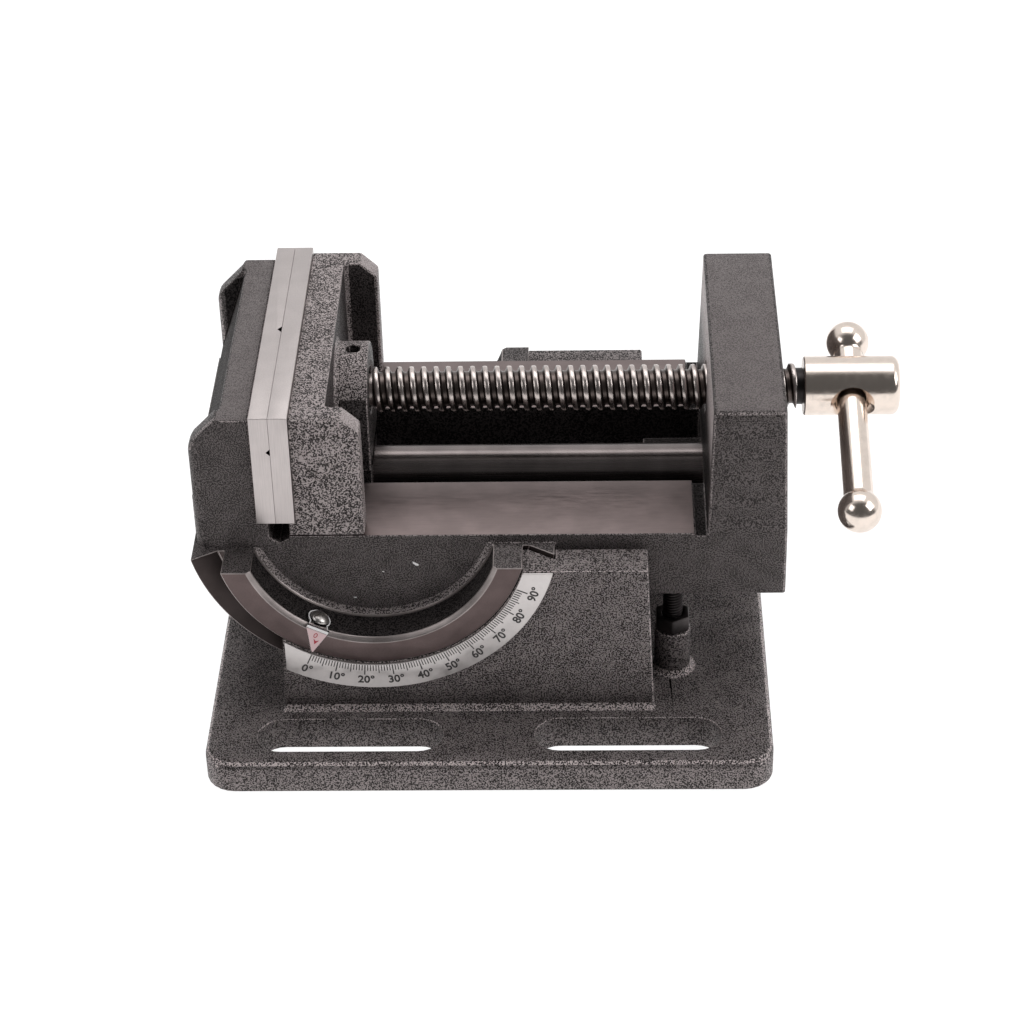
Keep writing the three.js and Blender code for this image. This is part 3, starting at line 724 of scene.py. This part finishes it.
def lead_screw():
    low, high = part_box("lead_screw")
    place = along(Vector((0, 0, SCREW_AXIS.z)), (1, 0, 0))
    groove_start, groove_end, groove_r = PIN_GROOVE
    collar_end, collar_r = COLLAR
    nose = [(low.x, 4.4 * MM), (low.x + 0.6 * MM, PLAIN_R), (groove_start, PLAIN_R), (groove_start, groove_r),
            (groove_end, groove_r), (groove_end, PLAIN_R), (SCREW_START + 1 * MM, PLAIN_R)]
    tail = [(SCREW_END - 1 * MM, 4.9 * MM), (SCREW_END - 0.5 * MM, collar_r), (collar_end, collar_r),
            (collar_end, PLAIN_R), (high.x, PLAIN_R)]
    still = Matrix()
    parts = [(thread_mesh(), still, None), (revolved("nose", nose, place), still, 0),
             (revolved("tail", tail, place), still, 2)]
    mesh = joined("threaded_spindle", parts)
    smooth_by_angle(mesh, 40)
    materials = [THREAD_STEEL, ROOT_SHADE_STEEL, NECK_STEEL]
    add("threaded_spindle", mesh, "screw", materials, ["lead_screw"])


def cut(piece, cutters):
    for mesh in cutters:
        tool = bpy.data.objects.new("cutter", mesh)
        bpy.context.scene.collection.objects.link(tool)
        modifier = piece.modifiers.new("cut", "BOOLEAN")
        modifier.operation = "DIFFERENCE"
        modifier.solver = "EXACT"
        modifier.object = tool
        apply_modifiers(piece)
        bpy.data.objects.remove(tool)
    smooth_by_angle(piece.data, 34)


def hub(cross, bar_r):
    """The handle's hub, with a cross hole whose mouths are countersunk for the bar that slides in it."""
    low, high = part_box("handle_hub")
    r = (high.y - low.y) / 2
    length = high.x - low.x
    place = along(Vector((low.x, 0, SCREW_AXIS.z)), (1, 0, 0))
    chamfer, dome = 0.35 * MM, 2.4 * MM
    rows = [(0, r - chamfer), (chamfer, r), (length - dome, r)]
    rows += corner(length - dome, r - dome, dome, 90, 8, 8)[1:]
    rows += [(length - 0.02 * MM, r - dome - 0.5 * MM)]
    piece = add("hub", revolved("hub", rows, place, 160), "screw", [NICKEL], ["handle_hub"])
    hole, sink = bar_r + 0.6 * MM, 6.8 * MM     # radii of the hole and of its mouths
    mouth = sink - hole
    out = r + 2 * MM
    wide = hole + mouth + out - r
    countersunk = [(-out, wide), (-r + mouth, hole), (r - mouth, hole), (out, wide)]
    socket = [(-1 * MM, 5.3 * MM), (6.4 * MM, 5.3 * MM)]
    # the mouths are worn upwards at the front, where the bar hangs down in its hole
    worn_axis = Matrix.Rotation(radians(-13), 3, "X") @ BAR_AXIS
    deep, thin = r - mouth - 0.3 * MM, hole - 0.6 * MM
    worn = [(-out, wide), (-deep, thin), (deep, thin), (out, wide)]
    cut(piece, [revolved("cross", countersunk, along(cross, BAR_AXIS)), revolved("socket", socket, place, 64),
                revolved("worn", worn, along(cross, worn_axis))])


def handle():
    low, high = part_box("handle_bar")
    bar_r = (high.x - low.x) / 2
    cross = Vector(((low.x + high.x) / 2, 0, SCREW_AXIS.z))
    hub(cross, bar_r)
    ends = []
    for end, side in (("front", -1), ("rear", 1)):
        low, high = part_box(f"handle_ball_{end}")
        r = (high.x - low.x) / 2
        reach = (abs(low.y if side < 0 else high.y) - r) / BAR_AXIS.y
        seat = sqrt(r ** 2 - (bar_r + 0.35 * MM) ** 2)      # from the ball's middle to its neck
        start = atan2(bar_r + 0.35 * MM, -seat)
        turns = [start * i / 40 for i in range(40, -1, -1)]
        rows = [(-seat - 0.9 * MM, bar_r + 0.05 * MM), (-seat - 0.35 * MM, bar_r + 0.12 * MM)]
        rows += [(r * cos(turn), max(r * sin(turn), 0.02 * MM)) for turn in turns]
        place = along(cross + side * reach * BAR_AXIS, side * BAR_AXIS)
        mesh = revolved(f"knob_{end}", rows, place, sharp=60)
        add(f"knob_{end}", mesh, "handle", [NICKEL], [f"handle_ball_{end}"])
        ends.append((side * (reach - r * 0.5), bar_r))      # the bar ends inside the balls
    mesh = revolved("sliding_bar", ends, along(cross, BAR_AXIS))
    add("sliding_bar", mesh, "handle", [NICKEL], ["handle_bar"])


# ---------- scale and pointer ----------
SCALE_ZERO = -24.0              # degrees from straight down to the 0 mark
SCALE_INNER = 46.95 * MM        # radius at the marks' inner ends
LABEL_R = 52.5 * MM
LABEL_SIZE = 3.7 * MM
MARK = 0.05 * MM                # how far the print stands proud
TENTH, FIFTH, SINGLE = (3.6 * MM, 0.36 * MM), (2.9 * MM, 0.3 * MM), (2.1 * MM, 0.3 * MM)    # length, width


def on_face(angle, radius, y):
    """A frame on the front face, at angle from straight down: X along the arc, Y inwards, Z off the face."""
    s, c = sin(radians(angle)), cos(radians(angle))
    place = Vector((TILT.x + radius * s, y, TILT.z - radius * c))
    axes = Matrix(((c, -s, 0), (0, 0, -1), (s, c, 0)))
    return Matrix.Translation(place) @ axes.to_4x4()


def scale_marks():
    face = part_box("scale_plate")[0].y
    meshes = []
    for degree in range(91):
        length, width = TENTH if degree % 10 == 0 else FIFTH if degree % 5 == 0 else SINGLE
        tick = plate_mesh("tick", box_outline(-width / 2, -length, width / 2, 0), MARK)
        meshes.append((tick, on_face(SCALE_ZERO + degree, SCALE_INNER, face), 0))
    for degree in range(0, 91, 10):
        letters = lettering(f"{degree}°", LABEL_SIZE, 2 * MARK, 0.09 * MM)
        meshes.append((letters, on_face(SCALE_ZERO + degree + 0.6, LABEL_R, face), 0))
    add("scale_marks", joined("scale_marks", meshes), "base", [INK])


POINTER_ANGLE = -26.6           # degrees from straight down
POINTER_HALF = 3.6 * MM         # half the tab's width
POINTER_THICK = 0.8 * MM
POINTER_INNER = 37.7 * MM       # radius of the tab's outer face, against the ring
POINTER_FACE = 62.4 * MM        # how far across the blade's back is
POINTER_TIP = 46 * MM
TIP_SKEW = 1.8 * MM             # the tip is this far to one side
HEAD_R = 3.7 * MM               # the tab's round end
HEAD_AT = -58.2 * MM            # its middle, along Y
FOOT_HALF = 3.1 * MM            # half the tab's width at the blade
BOLT_AT = -58.4 * MM


def pointer():
    """A clear tab lies in the ring and turns down over its face as a blade with a printed arrow. In the frame
    hang, the origin is on the tilt axis and the pointer hangs straight down."""
    half, thick, inner = POINTER_HALF, POINTER_THICK, POINTER_INNER
    hang = Matrix.Translation(Vector((TILT.x, 0, TILT.z))) @ Matrix.Rotation(radians(-POINTER_ANGLE), 4, "Y")
    upright = Matrix(((1, 0, 0, 0), (0, 0, -1, 0), (0, 1, 0, 0), (0, 0, 0, 1)))
    lay_tab = hang @ Matrix.Translation((0, 0, -inner))
    lay_blade = hang @ Matrix.Translation((0, -POINTER_FACE, 0)) @ upright
    front = hang @ Matrix.Translation((0, -POINTER_FACE - thick, 0)) @ upright

    head = [(half * cos(radians(a)), HEAD_AT + HEAD_R * sin(radians(a))) for a in range(-40, 221, 10)]
    foot = FOOT_HALF
    tab = plate_mesh("tab", [(-foot, -POINTER_FACE - thick), (foot, -POINTER_FACE - thick), *head], thick)
    tip = [(TIP_SKEW + 0.3 * MM, -POINTER_TIP), (TIP_SKEW - 0.3 * MM, -POINTER_TIP)]
    sides = [(-half, -inner + thick), (half, -inner + thick), (half, -inner)]
    blade = plate_mesh("blade", [*sides, *tip, (-half, -inner)], thick)
    # painted highlight: a thin white strip round the clear tab's rim stands in for the light its rounded edge
    # catches
    rim = [(foot, -POINTER_FACE), *head, (-foot, -POINTER_FACE)]
    middle = (-POINTER_FACE + HEAD_AT + HEAD_R) / 2
    inset_rim = [(x * 0.9, middle + (y - middle) * 0.93) for x, y in rim]
    on_tab = lay_tab @ Matrix.Translation((0, 0, thick))
    rim_highlights = [(plate_mesh("rim_highlight", [rim[i], rim[i + 1], inset_rim[i + 1], inset_rim[i]], 0.08 * MM), on_tab, 1)
             for i in range(len(rim) - 1)]
    mesh = joined("pointer_tab", [(tab, lay_tab, 0), (blade, lay_blade, 0), *rim_highlights])
    add("pointer_tab", mesh, "body", [CLEAR, WHITE_LINE], ["pointer"])

    edge = half - 0.25 * MM
    tip_y = -POINTER_TIP + 0.3 * MM
    back = [(-edge, -inner - 0.3 * MM), (edge, -inner - 0.3 * MM),
            (TIP_SKEW + 0.2 * MM, tip_y), (TIP_SKEW - 0.2 * MM, tip_y)]
    line = box_outline(-edge, -inner - 0.1 * MM, edge, -inner + 0.8 * MM)
    arrow_x, arrow_y = TIP_SKEW * 0.62, -inner - 4.2 * MM
    arrow_shape = ((-0.9, 1.0), (0, 0.4), (0.9, 1.0), (0.1, -0.9))
    arrow = [(arrow_x + x * MM, arrow_y + y * MM) for x, y in arrow_shape]
    zero_at = front @ Matrix.Translation((0.3 * MM, -inner - 2.0 * MM, 1.6 * MARK))
    meshes = [(plate_mesh("back", back, MARK), front, 0), (plate_mesh("line", line, MARK), front, 1),
              (plate_mesh("arrow", arrow, 2 * MARK), front, 2), (lettering("0", 2.6 * MM, MARK), zero_at, 2)]
    add("pointer_print", joined("pointer_print", meshes), "body",
        [PALE_PRINT, WHITE_LINE, RED_INK])

    place = hang @ Matrix.Translation((0, BOLT_AT, -inner + thick))
    head_r, head_edge, dome = 2.9 * MM, 0.4 * MM, 1.5 * MM
    rows = [(-5 * MM, 1.4 * MM), (0.1 * MM, 1.4 * MM), (0.1 * MM, 2.7 * MM), (head_edge, head_r)]
    rows += [(head_edge + dome * sin(radians(a)), head_r * cos(radians(a))) for a in range(10, 90, 10)]
    bolt = add("pointer_bolt", revolved("pointer_bolt", rows, place, 48, 45), "body",
               [BRIGHT_STEEL], ["pointer_screw"])
    slot = plate_mesh("slot", box_outline(-4 * MM, -0.3 * MM, 4 * MM, 0.3 * MM), 3 * MM)
    slot.transform(place @ Matrix.Rotation(radians(35), 4, "Z") @ Matrix.Translation((0, 0, 1.0 * MM)))
    cut(bolt, [slot])


CHIP = ((-1, 0.5), (-0.7, -0.1), (0.3, -0.5), (1, -0.35), (0.8, 0.2), (-0.1, 0.35))     # outline of size 1


def paint_chips():
    """Small chips in the barrel's paint, on the scale side: x, z and size in mm, and turn in degrees."""
    meshes = []
    for x, z, size, turn in ((-21.5, 55.7, 1.1, -20), (-31.3, 52.9, 0.35, 0), (-40.2, 43.4, 0.5, 10)):
        chip = plate_mesh("chip", [(size * MM * a, size * MM * b) for a, b in CHIP], MARK)
        place = Matrix.Translation((x * MM, -BED_SIDE * MM, z * MM)) @ Matrix.Rotation(radians(90), 4, "X")
        meshes.append((chip, place @ Matrix.Rotation(radians(turn), 4, "Z"), 0))
    add("paint_chips", joined("paint_chips", meshes), "body", [WHITE_LINE])


# ---------- stage, camera and light ----------
def stage():
    """A pale floor that glows a little, so that it stays white under soft light."""
    bm = bmesh.new()
    bmesh.ops.create_grid(bm, x_segments=1, y_segments=1, size=4)
    mesh = bpy.data.meshes.new("floor")
    bm.to_mesh(mesh)
    bm.free()
    floor = bpy.data.objects.new("floor", mesh)
    floor.location = (0, 0, -0.2 * MM)
    bpy.context.scene.collection.objects.link(floor)
    material, _, shader = new_material("floor_paper")
    shader.inputs["Base Color"].default_value = (0.2, 0.2, 0.2, 1)
    shader.inputs["Roughness"].default_value = 0.9
    shader.inputs["Emission Color"].default_value = (1, 1, 1, 1)
    shader.inputs["Emission Strength"].default_value = 0.95
    mesh.materials.append(material)


EYE = (0.03379, -0.74669, 0.55953)
HEADING, DOWNWARD, ROLL = radians(2.1286), radians(34.798), radians(-1.6326)


def camera():
    """A camera at EYE that looks along +Y, turned left by HEADING, tipped by DOWNWARD and rolled by ROLL."""
    data = bpy.data.cameras.new("camera")
    data.lens = 101.2
    data.sensor_width = 36
    data.clip_end = 20
    eye = bpy.data.objects.new("camera", data)
    turn = Matrix.Rotation(HEADING, 4, "Z") @ Matrix.Rotation(pi / 2 - DOWNWARD, 4, "X")
    eye.matrix_world = Matrix.Translation(EYE) @ turn @ Matrix.Rotation(ROLL, 4, "Z")
    bpy.context.scene.collection.objects.link(eye)
    bpy.context.scene.camera = eye


def softbox(name, azimuth, elevation, distance, width, height, glow):
    """A soft area light aimed at the vise. Azimuth 0 is the camera's side, 90 the handle's."""
    a, e = radians(azimuth), radians(elevation)
    direction = Vector((sin(a) * cos(e), -cos(a) * cos(e), sin(e)))
    data = bpy.data.lights.new(name, "AREA")
    data.shape = "RECTANGLE"
    data.size = width
    data.size_y = height
    data.energy = glow * pi * width * height
    lamp = bpy.data.objects.new(name, data)
    target = Vector((0, 0, 0.05))
    lamp.location = target + distance * direction
    lamp.rotation_euler = direction.to_track_quat("Z", "Y").to_euler()
    bpy.context.scene.collection.objects.link(lamp)


def studio():
    """A bright back and overhead, a dark room behind the camera, and a softbox on each side and above."""
    world = bpy.data.worlds.new("studio")
    bpy.context.scene.world = world
    world.use_nodes = True
    tree = world.node_tree
    direction = node(tree, "TexCoord", {}).outputs["Generated"]
    parts = node(tree, "SeparateXYZ", {0: direction})
    back = ramp(tree, parts.outputs[1], -0.3, 0.1, 0.1, 0.85)
    tree.links.new(back, tree.nodes["Background"].inputs["Strength"])
    tree.nodes["Background"].inputs["Color"].default_value = (1, 1, 1, 1)
    softbox("left_box", -58, 38, 1.1, 0.5, 0.5, 1.9)
    softbox("right_box", 72, 36, 1.1, 0.6, 0.6, 3.4)
    softbox("top_box", 170, 72, 1.2, 1.0, 0.7, 1.6)
    bpy.context.scene.view_settings.view_transform = "Standard"


castings()
small_parts()
guide_bar()
stop_screws()
lead_screw()
handle()
scale_marks()
pointer()
paint_chips()
stage()
camera()
studio()
